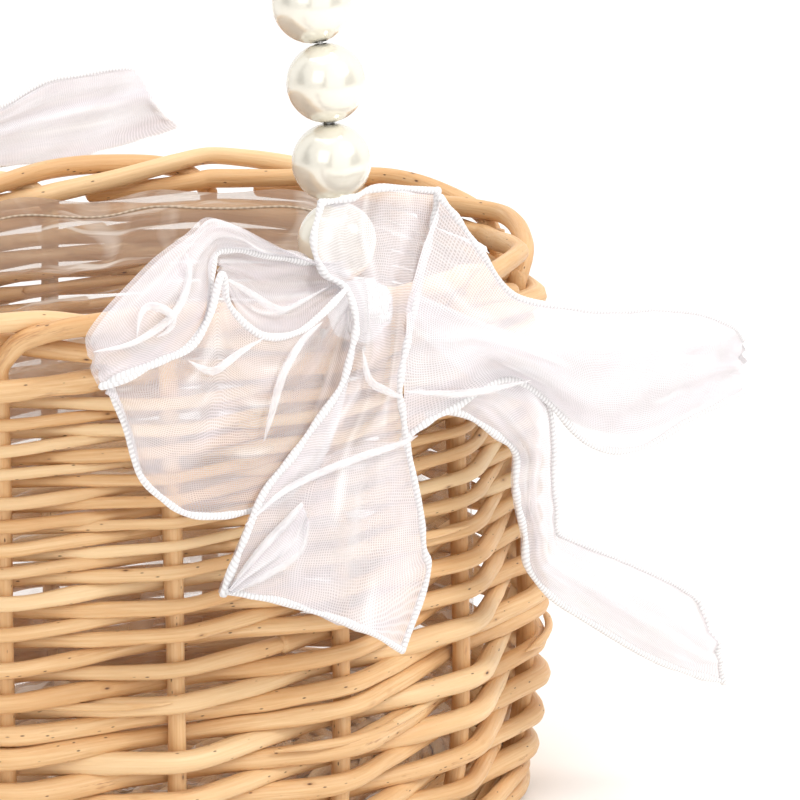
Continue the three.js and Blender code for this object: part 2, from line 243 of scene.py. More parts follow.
# ---------------------------------------------------------------- materials
class Nodes:
    """Short names for making shader nodes and joining them."""

    def __init__(self, name):
        self.material = bpy.data.materials.new(name)
        self.material.use_nodes = True
        self.tree = self.material.node_tree
        self.shader = self.tree.nodes["Principled BSDF"]

    def node(self, kind, inputs=None, **settings):
        made = self.tree.nodes.new(kind)
        for key, value in settings.items():
            setattr(made, key, value)
        for key, value in (inputs or {}).items():
            self.put(made.inputs[key], value)
        return made

    def put(self, socket, value):
        if isinstance(value, bpy.types.NodeSocket):
            self.tree.links.new(value, socket)
        else:
            socket.default_value = value

    def math(self, operation, a, b=0.0):
        made = self.node("ShaderNodeMath", operation=operation)
        self.put(made.inputs[0], a)
        self.put(made.inputs[1], b)
        return made.outputs[0]

    def mix(self, factor, a, b):
        made = self.node("ShaderNodeMix", data_type="RGBA")
        self.put(made.inputs[0], factor)
        self.put(made.inputs[6], a)
        self.put(made.inputs[7], b)
        return made.outputs[2]

    def ramp(self, value, low, high, start=0.0, end=1.0):
        made = self.node("ShaderNodeMapRange", clamp=True)
        for i, v in enumerate((value, low, high, start, end)):
            self.put(made.inputs[i], v)
        return made.outputs[0]

    def attribute(self, name, output="Vector"):
        return self.node("ShaderNodeAttribute", attribute_name=name).outputs[output]

    def stretch(self, vector, scale):
        made = self.node("ShaderNodeVectorMath", operation="MULTIPLY")
        self.put(made.inputs[0], vector)
        made.inputs[1].default_value = scale
        return made.outputs[0]

    def noise(self, vector, scale, detail=3.0, rough=0.5):
        made = self.node("ShaderNodeTexNoise", {"Vector": vector, "Scale": scale,
                                                "Detail": detail, "Roughness": rough})
        return made.outputs[0]

    def bump(self, height, strength, distance):
        made = self.node("ShaderNodeBump", {"Height": height, "Strength": strength,
                                            "Distance": distance})
        return made.outputs[0]

    def split(self, vector):
        made = self.node("ShaderNodeSeparateXYZ", {0: vector})
        return made.outputs


def willow(name, light, dark, gloss):
    """Peeled willow: long fibres, leaf scars, bark traces and a tone for each rod."""
    n = Nodes(name)
    grain = n.attribute("grain")
    tone = n.node("ShaderNodeSeparateColor", {0: n.attribute("tone", "Color")}).outputs
    fibres = n.noise(n.stretch(grain, (0.055, 1.9, 1.9)), 1.0, 4.0, 0.62)
    clouds = n.noise(n.stretch(grain, (0.03, 0.22, 0.22)), 1.0, 2.0)
    fine = n.noise(n.stretch(grain, (0.35, 5.0, 5.0)), 1.0, 2.0)
    base = n.mix(n.ramp(fibres, 0.3, 0.72), light, dark)
    base = n.mix(n.math("MULTIPLY", n.ramp(clouds, 0.45, 0.75), 0.55), base,
                 (0.66, 0.33, 0.115, 1))
    base = n.mix(n.ramp(tone[0], 0.0, 1.0, 0.42, 0.0), base, (0.52, 0.255, 0.09, 1))
    base = n.mix(n.ramp(tone[1], 0.55, 1.0, 0.0, 0.5), base, (0.93, 0.74, 0.46, 1))
    bark = n.noise(n.stretch(grain, (0.045, 0.35, 0.35)), 1.0, 5.0, 0.7)
    bark = n.math("MULTIPLY", n.ramp(bark, 0.60, 0.68), tone[2])
    base = n.mix(bark, base, (0.30, 0.095, 0.035, 1))
    scars = n.node("ShaderNodeTexVoronoi", {"Vector": n.stretch(grain, (0.11, 0.26, 0.26)),
                                            "Scale": 1.0, "Randomness": 1.0})
    chance = n.split(scars.outputs["Color"])
    chosen = n.ramp(chance[0], 0.45, 0.5)
    scar = n.math("MULTIPLY", n.ramp(scars.outputs["Distance"], 0.035, 0.085, 1.0, 0.0), chosen)
    ring = n.math("MULTIPLY", n.ramp(scars.outputs["Distance"], 0.08, 0.2, 0.5, 0.0), chosen)
    specks = n.node("ShaderNodeTexVoronoi", {"Vector": n.stretch(grain, (0.35, 0.9, 0.9)),
                                             "Scale": 1.0, "Randomness": 1.0})
    speck_chance = n.ramp(n.split(specks.outputs["Color"])[1], 0.72, 0.76)
    speck = n.ramp(specks.outputs["Distance"], 0.08, 0.18, 0.8, 0.0)
    scar = n.math("MAXIMUM", scar, n.math("MULTIPLY", speck, speck_chance))
    base = n.mix(ring, base, (0.50, 0.25, 0.10, 1))
    base = n.mix(scar, base, (0.085, 0.032, 0.014, 1))
    n.put(n.shader.inputs["Base Color"], base)
    n.put(n.shader.inputs["Roughness"], n.ramp(fine, 0.3, 0.7, gloss - 0.07, gloss + 0.12))
    n.shader.inputs["Specular IOR Level"].default_value = 0.42
    n.shader.inputs["Subsurface Weight"].default_value = 0.06
    n.shader.inputs["Subsurface Radius"].default_value = (0.0012, 0.0006, 0.0003)
    height = n.math("ADD", n.math("MULTIPLY", fibres, 0.8), n.math("MULTIPLY", fine, 0.35))
    height = n.math("SUBTRACT", height, n.math("MULTIPLY", scar, 0.8))
    n.put(n.shader.inputs["Normal"], n.bump(height, 0.55, 0.00035))
    return n.material


def pearl_paint():
    """Layers of pearl lacquer over a moulded bead."""
    n = Nodes("pearl_lacquer")
    where = n.node("ShaderNodeTexCoord").outputs["Object"]
    cloud = n.noise(where, 90.0, 2.0)
    base = n.mix(cloud, (0.83, 0.79, 0.68, 1), (0.88, 0.85, 0.755, 1))
    n.put(n.shader.inputs["Base Color"], base)
    n.shader.inputs["Roughness"].default_value = 0.22
    n.shader.inputs["Metallic"].default_value = 0.4
    n.shader.inputs["Specular IOR Level"].default_value = 0.6
    n.shader.inputs["Coat Weight"].default_value = 0.8
    n.shader.inputs["Coat Roughness"].default_value = 0.05
    n.shader.inputs["Coat IOR"].default_value = 1.6
    n.put(n.shader.inputs["Normal"], n.bump(n.noise(where, 900.0, 2.0), 0.05, 0.0001))
    return n.material


def organza(name, thread_alpha, gap_alpha):
    """Sheer ribbon: crossing threads with gaps, denser along its creases."""
    n = Nodes(name)
    coords = n.split(n.attribute("grain"))
    tone = n.node("ShaderNodeSeparateColor", {0: n.attribute("tone", "Color")}).outputs
    drift = n.math("MULTIPLY", n.noise(n.attribute("grain"), 0.10, 2.0), 2.2)
    across = n.math("SINE", n.math("MULTIPLY", n.math("ADD", coords[0], drift), 13.5))
    along = n.math("SINE", n.math("MULTIPLY", n.math("ADD", coords[1], drift), 12.0))
    threads = n.math("MAXIMUM", across, n.math("MULTIPLY", along, 0.8))
    soft = n.noise(n.stretch(n.attribute("grain"), (0.10, 0.05, 0.1)), 1.0, 2.0)
    alpha = n.ramp(threads, -0.3, 0.9, gap_alpha, thread_alpha)
    alpha = n.math("ADD", alpha, n.ramp(soft, 0.35, 0.7, -0.06, 0.08))
    alpha = n.math("ADD", alpha, n.math("MULTIPLY", tone[0], 0.22))
    alpha = n.math("MINIMUM", n.math("ADD", alpha, n.math("MULTIPLY", tone[1], 0.25)), 0.97)
    tint = n.mix(n.ramp(soft, 0.35, 0.65), (0.82, 0.795, 0.815, 1), (0.80, 0.755, 0.79, 1))
    tint = n.mix(tone[0], tint, (0.90, 0.89, 0.90, 1))
    n.put(n.shader.inputs["Base Color"], tint)
    n.put(n.shader.inputs["Alpha"], alpha)
    n.shader.inputs["Roughness"].default_value = 0.5
    n.shader.inputs["Specular IOR Level"].default_value = 0.25
    n.shader.inputs["Sheen Weight"].default_value = 0.12
    n.shader.inputs["Sheen Roughness"].default_value = 0.4
    n.put(n.shader.inputs["Normal"], n.bump(threads, 0.2, 0.0001))
    return n.material


def hem_thread():
    """The ribbon's rolled edge, wrapped with fine stitches."""
    n = Nodes("hem_stitches")
    coords = n.split(n.attribute("grain"))
    twist = n.math("ADD", n.math("MULTIPLY", coords[0], 6.4), n.math("MULTIPLY", coords[1], 3.0))
    wraps = n.math("SINE", twist)
    base = n.mix(n.ramp(wraps, -1.0, 0.2), (0.83, 0.815, 0.82, 1), (0.90, 0.89, 0.895, 1))
    n.put(n.shader.inputs["Base Color"], base)
    n.shader.inputs["Roughness"].default_value = 0.6
    n.put(n.shader.inputs["Alpha"], n.ramp(wraps, -1.0, 1.0, 0.72, 0.92))
    n.shader.inputs["Specular IOR Level"].default_value = 0.2
    n.put(n.shader.inputs["Normal"], n.bump(wraps, 0.2, 0.0001))
    return n.material


def folded_organza():
    """Several layers of organza in one fold, soft and nearly white."""
    n = Nodes("organza_fold")
    soft = n.noise(n.stretch(n.attribute("grain"), (0.2, 0.6, 0.6)), 1.0, 2.0)
    n.put(n.shader.inputs["Base Color"],
          n.mix(soft, (0.84, 0.82, 0.835, 1), (0.92, 0.91, 0.915, 1)))
    n.put(n.shader.inputs["Alpha"], n.ramp(soft, 0.3, 0.7, 0.30, 0.55))
    n.shader.inputs["Roughness"].default_value = 0.6
    n.shader.inputs["Specular IOR Level"].default_value = 0.2
    return n.material


# how far up the liner's cloth its folded top band starts, in mm along the film
HEM_LINE = 157


def film():
    """Clear plastic film with painted highlights (soft glints and a bright patch along its wrinkles)
    over a base colour darkened as painted shade.
    """
    n = Nodes("clear_film")
    grain = n.attribute("grain")
    warp = n.noise(grain, 0.03, 2.0)
    bent = n.node("ShaderNodeVectorMath", operation="MULTIPLY_ADD")
    n.put(bent.inputs[0], n.node("ShaderNodeCombineXYZ", {0: warp, 1: warp}).outputs[0])
    bent.inputs[1].default_value = (30, 16, 0)
    n.put(bent.inputs[2], grain)
    streaks = n.noise(n.stretch(bent.outputs[0], (0.022, 0.30, 1.0)), 1.0, 3.0)
    glint = n.ramp(streaks, 0.575, 0.65, 0.0, 1.0)
    folds = n.noise(n.stretch(bent.outputs[0], (0.07, 0.025, 1.0)), 1.0, 2.0)
    patch_light = n.ramp(folds, 0.53, 0.66, 0.0, 0.6)
    # painted highlight: where the glint streaks or the bright fold patch show, the film is painted
    # whiter and made more opaque
    painted_glints = n.math("MAXIMUM", glint, patch_light)
    up = n.split(grain)[1]
    doubled = n.ramp(up, HEM_LINE - 1.0, HEM_LINE, 0.20, 0.58)
    mist = n.ramp(n.noise(n.stretch(bent.outputs[0], (0.03, 0.05, 1.0)), 1.0), 0.3, 0.7, -0.1, 0.1)
    alpha = n.math("ADD", n.math("ADD", doubled, mist), n.math("MULTIPLY", painted_glints, 0.34))
    # painted shade: the film's base colour is darkened to taupe to stand for the basket's shaded
    # inside seen through it; the near-white end is the painted highlight
    n.put(n.shader.inputs["Base Color"],
          n.mix(painted_glints, (0.62, 0.47, 0.37, 1), (0.95, 0.90, 0.84, 1)))
    n.put(n.shader.inputs["Alpha"], alpha)
    n.shader.inputs["Roughness"].default_value = 0.16
    n.shader.inputs["Specular IOR Level"].default_value = 0.6
    n.shader.inputs["Coat Weight"].default_value = 0.6
    n.shader.inputs["Coat Roughness"].default_value = 0.1
    height = n.math("ADD", n.math("MULTIPLY", streaks, 1.0), n.math("MULTIPLY", folds, 2.0))
    n.put(n.shader.inputs["Normal"], n.bump(height, 0.5, 0.0012))
    return n.material


def thread():
    """The twisted thread that gathers the liner's top."""
    n = Nodes("seam_thread")
    coords = n.split(n.attribute("grain"))
    twist = n.math("SINE", n.math("ADD", n.math("MULTIPLY", coords[0], 4.0), coords[1]))
    n.put(n.shader.inputs["Base Color"],
          n.mix(n.ramp(twist, -1.0, 1.0), (0.50, 0.40, 0.30, 1), (0.74, 0.64, 0.52, 1)))
    n.shader.inputs["Roughness"].default_value = 0.6
    n.shader.inputs["Alpha"].default_value = 0.75
    return n.material


def steel():
    """Bright wire, drawn lengthwise."""
    n = Nodes("handle_wire_steel")
    where = n.node("ShaderNodeTexCoord").outputs["Object"]
    drawn = n.noise(n.stretch(where, (3000, 3000, 150)), 1.0, 2.0)
    n.put(n.shader.inputs["Base Color"],
          n.mix(drawn, (0.52, 0.51, 0.49, 1), (0.72, 0.71, 0.69, 1)))
    n.shader.inputs["Metallic"].default_value = 1.0
    n.put(n.shader.inputs["Roughness"], n.ramp(drawn, 0.2, 0.8, 0.22, 0.4))
    return n.material


def floor_paint():
    """The studio's white floor."""
    n = Nodes("studio_floor")
    where = n.node("ShaderNodeTexCoord").outputs["Object"]
    n.put(n.shader.inputs["Base Color"], n.mix(n.noise(where, 3.0, 2.0),
                                               (0.89, 0.885, 0.88, 1), (0.90, 0.895, 0.89, 1)))
    n.shader.inputs["Roughness"].default_value = 0.7
    n.shader.inputs["Specular IOR Level"].default_value = 0.1
    return n.material


LIGHT_WILLOW, DARK_WILLOW = (0.84, 0.59, 0.33, 1), (0.68, 0.40, 0.18, 1)
wicker = willow("peeled_willow", LIGHT_WILLOW, DARK_WILLOW, 0.44)
wicker_base = willow("base_willow", (0.76, 0.51, 0.26, 1), (0.60, 0.34, 0.14, 1), 0.55)
pearl_material = pearl_paint()
ribbon_material = organza("organza", 0.56, 0.27)
hem_material = hem_thread()
fold_material = folded_organza()
film_material = film()
wire_material = steel()


def rod_tone(bark=0.0):
    """A depth of colour, a paleness and an amount of bark for one rod."""
    return (rng.uniform(0.25, 1.0), rng.uniform(0.0, 1.0), bark, 1.0)


# ---------------------------------------------------------------- stakes and border
for k in range(STAKES):
    s = float(stake_at(k))
    path = [on_oval(s, d, z) for d, z in ((-16, FOOT_Z), (-6, FOOT_Z), (-3, 4.6), (-1.2, 7))]
    for z in np.arange(BAND_Z0, BAND_Z0 + BANDS * BAND_HEIGHT + 1, BAND_HEIGHT):
        path.append(on_oval(s, wall_out(z), z))
    for passed, z, out in BORDER:
        t = k + passed
        path.append(on_oval(stake_at(t), out - 0.6 * chord_sag(t), z + rim_rise(t, z)))
    path = spline(path, 6)
    count = len(path)
    t = np.linspace(0, 1, count)
    radius = STAKE_R * (1 + 0.035 * ripple(t * 18, 300 + k))
    radius *= np.interp(t, [0, 0.5, 0.62, 0.93, 1], [1.0, 1.0, 1.09, 1.06, 0.92])
    build = Build()
    build.tube(path, radius, 14, rod_tone(0.15 if k % 3 else 0.5), cut=(0.4, 0.7))
    piece = build.make(f"stake_rod_{k + 1:02d}", wicker)
    settle(piece, "basket", f"stake_{k + 1:02d}")

# ---------------------------------------------------------------- weaver rows
PITCH_Z = [0, 40, 60, 75, 90, 112]
PITCH = [4.15, 4.05, 3.6, 2.95, 2.35, 2.3]
TOP_ROW_Z, TOP_ROW_R = 116.1, 2.4
ANCHOR_Z = 48.0
# height and radius of the two rods round the foot, and where the first wall row may start
FOOT_RODS = ((2.6, 2.05), (6.5, 2.0))
FIRST_ROW_FLOOR = 6.3
ROW_OVERLAP = 1.09


def row_heights():
    """Row centres with the side of the first stake that each passes, from the foot up."""
    up, z = [], ANCHOR_Z
    while z < TOP_ROW_Z - TOP_ROW_R - 0.9:
        up.append(z)
        z += float(np.interp(z + 1.2, PITCH_Z, PITCH))
    down, z = [], ANCHOR_Z
    while True:
        z -= float(np.interp(z - 1.2, PITCH_Z, PITCH))
        if z < BAND_Z0 + 1.6:
            break
        down.append(z)
    rows = [(z, -1 if i % 2 else 1) for i, z in enumerate(down)][::-1]
    rows += [(z, 1 if i % 2 == 0 else -1) for i, z in enumerate(up)]
    return rows + [(TOP_ROW_Z, -rows[-1][1])]


def add_row(build, z, side, radius, seed, bark, outside=False):
    """One weaver round the whole wall. Its two ends overlap inside one stake."""
    pick = random.Random(seed)
    start = pick.randrange(STAKES)
    if not outside and side * (1 if start % 2 == 0 else -1) > 0:
        start += 1
    start += pick.uniform(-0.12, 0.12)
    t = np.linspace(-0.32, STAKES + 0.32, STAKES * 24)
    u = t + start
    thick = radius * (1 + 0.07 * ripple(t * 1.1, seed + 1) + 0.025 * ripple(t * 7, seed + 2))
    thick *= np.interp(t, [-0.4, 1, STAKES - 1, STAKES + 0.4], [1.08, 1.06, 0.92, 0.78])
    swing = STAKE_R + thick + 0.25
    before = np.floor(u)
    part = u - before
    wave = np.cos(np.pi * before) * (1 - 2 * part)
    out = side * swing * wave if not outside else swing - 0.1
    tuck = np.interp(t, [-0.32, 0.25, STAKES - 0.25, STAKES + 0.32], [0, 0, 0, 1])
    out = out - 0.85 * chord_sag(u) + 0.2 * ripple(t * 1.7, seed + 3) - tuck * 1.5 * radius
    lift = 0.34 * ripple(t * 0.9, seed + 4) + 0.16 * ripple(t * 3.1, seed + 5)
    height = z + lift * min(radius / 1.6, 1.1) + tuck * 0.5
    height = height + rim_rise(u, height)
    path = smooth(smooth(on_oval(stake_at(u), wall_out(height) + out, height), 2), 2)
    build.tube(path, thick, 10, rod_tone(bark), cut=(0.5, 1.6))


rows = row_heights()
bands = {i: Build() for i in range(BANDS)}
foot = Build()
for i, (z, r) in enumerate(FOOT_RODS):
    add_row(foot, z, 1, r, 40 + i, 0.6, outside=True)
for i, (z, side) in enumerate(rows):
    below = rows[i - 1][0] if i else FIRST_ROW_FLOOR
    above = rows[i + 1][0] if i + 1 < len(rows) else z + 2 * TOP_ROW_R
    radius = min(z - below, above - z) / 2 * ROW_OVERLAP if z != TOP_ROW_Z else TOP_ROW_R
    band = min(int((z - BAND_Z0) // BAND_HEIGHT), BANDS - 1)
    bark = 0.9 if z < 40 and i % 3 == 0 else (0.35 if i % 4 == 1 else 0.0)
    add_row(bands[band], z, side, radius, 100 + 17 * i, bark)


def add_sliver(build, z, t0, t1, side, seed):
    """A thin spare end lying along a row, on the outside of the wall."""
    t = np.linspace(t0, t1, 26)
    taper = np.interp(np.linspace(0, 1, 26), [0, 0.2, 0.8, 1], [0.25, 1, 0.9, 0.2])
    thick = 0.95 * taper
    out = side * (STAKE_R + 1.5) * np.cos(np.pi * t) + 1.3
    height = z + 0.3 * ripple(t * 2, seed)
    height = height + rim_rise(t, height)
    build.tube(on_oval(stake_at(t), wall_out(height) + out, height), thick, 8, rod_tone(0.2),
               cut=(1.5, 1.5))


for i in range(16):
    row = rng.randrange(1, len(rows) - 4)
    z, side = rows[row]
    t0 = rng.uniform(0, STAKES)
    band = min(int((z - BAND_Z0) // BAND_HEIGHT), BANDS - 1)
    add_sliver(bands[band], z + 1.4, t0, t0 + rng.uniform(0.7, 1.3), side, 900 + i)

piece = foot.make("foot_weavers", wicker)
settle(piece, "basket", "foot_rows")
for i, build in bands.items():
    piece = build.make(f"weavers_{i + 1:02d}", wicker)
    settle(piece, "basket", f"weave_{i + 1:02d}")

# ---------------------------------------------------------------- base
CROSS_X, LONG_Y = (-62, -22, 22, 62), (-18, 18)
for i, x in enumerate(CROSS_X):
    half = RIM_B * math.sqrt(1 - (x / RIM_A) ** 2) - 21
    build = Build()
    build.tube([(x, y, 1.95) for y in np.linspace(-half, half, 30)], 1.9, 12, rod_tone(0.3))
    piece = build.make(f"base_cross_rod_{i + 1}", wicker_base)
    settle(piece, "basket", f"base_cross_{i + 1}")
for i, y in enumerate(LONG_Y):
    half = RIM_A * math.sqrt(1 - (y / RIM_B) ** 2) - 20
    build = Build()
    build.tube([(x, y, 5.0) for x in np.linspace(-half, half, 40)], 1.7, 12, rod_tone(0.3))
    piece = build.make(f"base_long_rod_{i + 1}", wicker_base)
    settle(piece, "basket", f"base_long_{i + 1}")

base_rows = Build()
BASE_RODS = 24
BASE_PITCH = 2.75
inset = 2.4
ring_number = 0
while inset < RIM_B - 4:
    side = 1 if ring_number % 2 else -1
    shrink_a, shrink_b = RIM_A - inset - 0.8, RIM_B - inset - 0.8
    angle = np.linspace(0, 2 * math.pi, 300)[:-1]
    angle = np.concatenate([angle, angle[:6] + 2 * math.pi])
    weave_z = 3.35 + side * 1.15 * np.cos(BASE_RODS / 2 * angle)
    thick = 1.35 * (1 + 0.05 * ripple(angle * 3, 500 + ring_number))
    path = np.stack([shrink_a * np.cos(angle), shrink_b * np.sin(angle),
                     weave_z + 0.1 * ripple(angle * 5, 560 + ring_number)], -1)
    base_rows.tube(path, thick, 8, rod_tone(0.2))
    inset += BASE_PITCH
    ring_number += 1
piece = base_rows.make("base_weavers", wicker_base)
settle(piece, "basket", "base_weave")

# ---------------------------------------------------------------- liner
LINER_FLOOR_Z, LINER_TOP = 8.4, 123.5
liner_rows, liner_cols, floor_rows = 60, 260, 9
# the share of the rows that lie on the base, and the row that the thread gathers
FLOOR_SHARE, SEAM_ROW = 0.16, 57
s = np.linspace(0, PERIMETER, liner_cols)
theta = s / PERIMETER * 2 * math.pi
levels = np.concatenate([np.linspace(0, FLOOR_SHARE, floor_rows + 1)[:-1],
                         np.linspace(FLOOR_SHARE, 1, liner_rows - floor_rows)])
points, coords = [], []
for level in levels:
    if level < FLOOR_SHARE:
        q = level / FLOOR_SHARE
        ring = np.full((liner_cols, 3), 7.9 + 0.25 * math.sin(9 * q))
        ring[:, 0] = (RIM_A - 14) * q * np.cos(theta) + 0.02 * np.cos(theta)
        ring[:, 1] = (RIM_B - 14) * q * np.sin(theta) + 0.02 * np.sin(theta)
        v = q * 60
    else:
        q = (level - FLOOR_SHARE) / (1 - FLOOR_SHARE)
        z = LINER_FLOOR_Z + (LINER_TOP - LINER_FLOOR_Z) * q
        fold = (0.55 * np.sin(7 * theta + 2.1 * q) + 0.45 * np.sin(13 * theta - 3.0 * q + 1)
                + 0.35 * np.sin(29 * theta + 9 * q) + 0.4 * np.sin(11 * q + 3 * theta))
        inside = -9.6 - 4.2 * math.exp(-q * 22) + fold * (0.5 + 0.7 * q)
        top = 1.3 * q ** 6 * (np.sin(5 * theta + 0.6) + 0.6 * np.sin(17 * theta))
        t_here = theta / (2 * math.pi) * STAKES - STAKE_PHASE
        z = z + rim_rise(t_here, z)
        ring = on_oval(theta / (2 * math.pi) * PERIMETER, inside, z + top)
        v = 60 + q * 115
    points.append(ring)
    coords.append(np.stack([s, np.full_like(s, v), np.zeros_like(s)], -1))
build = Build()
build.grid(np.array(points), np.array(coords))
liner = build.make("liner_film", film_material)
weld = liner.modifiers.new("weld", "WELD")
weld.merge_threshold = 0.00003
settle(liner, "basket", "liner")
seam_build = Build()
seam_build.tube(points[SEAM_ROW] + np.array([0, 0, 0.2]), 0.26, 8, PLAIN)
seam_piece = seam_build.make("liner_seam", thread())
settle(seam_piece, "basket")

# ---------------------------------------------------------------- handle
pearls = [np.array([0, -LOW_PEARL_Y, LOW_PEARL_Z])]
for degrees in ARCH_DEG:
    lean = math.radians(degrees)
    pearls.append(pearls[-1] + PEARL_PITCH * np.array([0, math.sin(lean), math.cos(lean)]))
miss = pearls[-1][1]
pearls = [p - np.array([0, miss * i / (len(pearls) - 1), 0]) for i, p in enumerate(pearls)]
pearls += [p * np.array([1, -1, 1]) for p in pearls[-2::-1]]
first_lean = math.radians(FOOT_LEAN_DEG)
below = pearls[0] + PEARL_PITCH * np.array([0, math.sin(first_lean), -math.cos(first_lean)])
chain = [below] + pearls + [below * np.array([1, -1, 1])]

PEARL_SIDES, PEARL_RINGS = 48, 26
for i, centre in enumerate(pearls):
    along = chain[i + 2] - chain[i]
    along /= np.linalg.norm(along)
    side = np.array([1.0, 0, 0])
    other = np.cross(along, side)
    opening = math.asin(BORE_R / PEARL_R)
    profile = [(BORE_R * 0.98, -PEARL_R * 0.6)]
    for j in range(PEARL_RINGS + 1):
        a = math.pi - opening - (math.pi - 2 * opening) * j / PEARL_RINGS
        profile.append((PEARL_R * math.sin(a), PEARL_R * math.cos(a)))
    profile.append((BORE_R * 0.98, PEARL_R * 0.6))
    verts, faces = [], []
    for j in range(PEARL_SIDES):
        a = 2 * math.pi * j / PEARL_SIDES
        out = side * math.cos(a) + other * math.sin(a)
        verts += [centre + out * r + along * h for r, h in profile]
    size = len(profile)
    for j in range(PEARL_SIDES):
        b = (j + 1) % PEARL_SIDES
        for m in range(size):
            c = (m + 1) % size
            faces.append((j * size + m, b * size + m, b * size + c, j * size + c))
    build = Build()
    build.add(verts, faces, np.array(verts), PLAIN)
    piece = build.make(f"pearl_bead_{i + 1:02d}", pearl_material)
    settle(piece, f"pearl_{i + 1:02d}", f"pearl_{i + 1:02d}")

wire_foot = [(0, -PIN_Y, PIN_Z), (0, -LEG_Y - 1.2, PIN_Z), (0, -LEG_Y - 0.2, PIN_Z + 0.3),
             (0, -LEG_Y, PIN_Z + 1.4), (0, -LEG_Y, 123)]
wire_points = wire_foot + [tuple(p) for p in spline(chain, 2)[1:-1]]
wire_points += [(0, -y, z) for _, y, z in wire_foot[::-1]]
build = Build()
build.tube(spline(wire_points, 4), WIRE_R, 10, PLAIN)
piece = build.make("handle_wire_rod", wire_material)
settle(piece, "handle", "handle_wire")

# ---------------------------------------------------------------- bows
# Each patch is rows of points in mm, from one edge of the ribbon to the other.
LOOP_TOP = [
    [(-9, -83, 139), (-9, -82, 138), (-8, -82, 136)],
    [(-16, -84, 140), (-15, -82, 139), (-14, -82, 139)],
    [(-24, -85, 143), (-22, -83, 142), (-21, -82, 141)],
    [(-36, -88, 149), (-34, -86, 146), (-31, -84, 144)],
    [(-44, -90, 153), (-44, -90, 151), (-40, -86, 147)],
    [(-52, -91, 156), (-52, -92, 153), (-48, -88, 148)],
    [(-58, -92, 154), (-59, -95, 151), (-53, -92, 144)],
    [(-67, -93, 151), (-65, -97, 146), (-56, -95, 140)],
    [(-75, -94, 147), (-73, -98, 142), (-62, -97, 135)],
    [(-81, -94, 143), (-79, -98, 138), (-70, -98, 133)],
    [(-84, -93, 139), (-84, -96, 135), (-80, -98, 132)],
    [(-83, -92, 136), (-84, -94, 133), (-84, -96, 130)],
]
LOOP_FRONT = [
    [(-84, -96, 130), (-83, -96, 129), (-82, -95, 129), (-80, -94, 128)],
    [(-80, -98, 131), (-80, -97, 128), (-79, -96, 125), (-76, -94, 119)],
    [(-72, -98, 133), (-75, -98, 127), (-76, -97, 118), (-73, -94, 110)],
    [(-64, -98, 134), (-69, -99, 125), (-70, -97, 114), (-67, -94, 104)],
    [(-58, -97, 139), (-64, -99, 126), (-64, -97, 112), (-61, -94, 100)],
    [(-53, -95, 146), (-58, -98, 129), (-58, -97, 111), (-53, -94, 98)],
    [(-50, -94, 139), (-52, -97, 126), (-50, -96, 110), (-45, -93, 97)],
    [(-42, -94, 132), (-45, -96, 122), (-43, -95, 109), (-37, -92, 97)],
    [(-31, -92, 130), (-35, -93, 121), (-34, -93, 110), (-29, -91, 99)],
    [(-22, -90, 132), (-24, -91, 125), (-24, -91, 115), (-21, -90, 105)],
    [(-14, -88, 135), (-13, -88, 131), (-13, -88, 127), (-12, -88, 122)],
]
LOOP_INNER = [
    [(-46, -86, 147), (-47, -88, 145), (-49, -91, 144)],
    [(-38, -84, 146), (-39, -85, 141), (-44, -90, 136)],
    [(-30, -82, 143), (-32, -84, 136), (-39, -91, 131)],
    [(-20, -82, 140), (-21, -82, 134), (-29, -90, 129)],
    [(-14, -81, 138), (-15, -82, 134), (-20, -88, 131)],
    [(-8, -82, 136), (-9, -83, 134), (-12, -86, 134)],
]
FRONT_TAIL = [
    [(-13, -80, 151), (-6, -81, 151), (2, -82, 152), (17, -82, 149)],
    [(-17, -82, 144), (-9, -82, 145), (2, -82, 145), (15, -83, 143)],
    [(-16, -84, 138), (-9, -84, 139), (1, -84, 139), (11, -85, 138)],
    [(-13, -87, 135), (-9, -88, 134), (-1, -87, 133), (6, -88, 132)],
    [(-13, -90, 129), (-10, -91, 128), (-3, -89, 126), (2, -90, 125)],
    [(-15, -91, 124), (-12, -93, 123), (-4, -90, 120), (-1, -91, 119)],
    [(-19, -92, 117), (-15, -94, 116), (-7, -91, 114), (-3, -92, 113)],
    [(-27, -93, 111), (-21, -95, 111), (-10, -92, 109), (-2, -92, 108)],
    [(-34, -94, 106), (-26, -96, 105), (-12, -93, 104), (-1, -92, 102)],
    [(-42, -95, 101), (-30, -96, 99), (-14, -94, 97), (0, -93, 95)],
    [(-47, -96, 95), (-33, -97, 93), (-16, -95, 90), (2, -93, 87)],
    [(-50, -96, 90), (-36, -96, 86), (-17, -95, 82), (4, -92, 79)],
    [(-53, -95, 83), (-38, -96, 79), (-19, -95, 70), (5, -92, 73)],
    [(-52, -95, 83), (-36, -96, 77), (-17, -95, 68), (-2, -92, 59)],
]
LOOP_RIGHT_FRONT = [
    [(16, -84, 148), (4, -88, 132), (0, -90, 121), (0, -90, 102)],
    [(20, -85, 143), (7, -90, 130), (4, -92, 119), (6, -91, 105)],
    [(26, -86, 135), (11, -92, 127), (8, -94, 119), (13, -92, 107)],
    [(35, -86, 125), (21, -93, 122), (17, -95, 119), (27, -92, 110)],
    [(50, -87, 120), (35, -94, 117), (31, -96, 113), (39, -92, 103)],
    [(63, -87, 117), (50, -94, 113), (47, -96, 104), (53, -91, 91)],
    [(76, -86, 115), (65, -93, 110), (62, -95, 101), (69, -90, 87)],
    [(89, -85, 112), (83, -91, 107), (79, -93, 100), (85, -89, 90)],
    [(104, -83, 106), (100, -87, 102), (97, -89, 98), (98, -87, 91)],
    [(111, -80, 101), (109, -82, 98), (108, -83, 94), (109, -82, 90)],
]
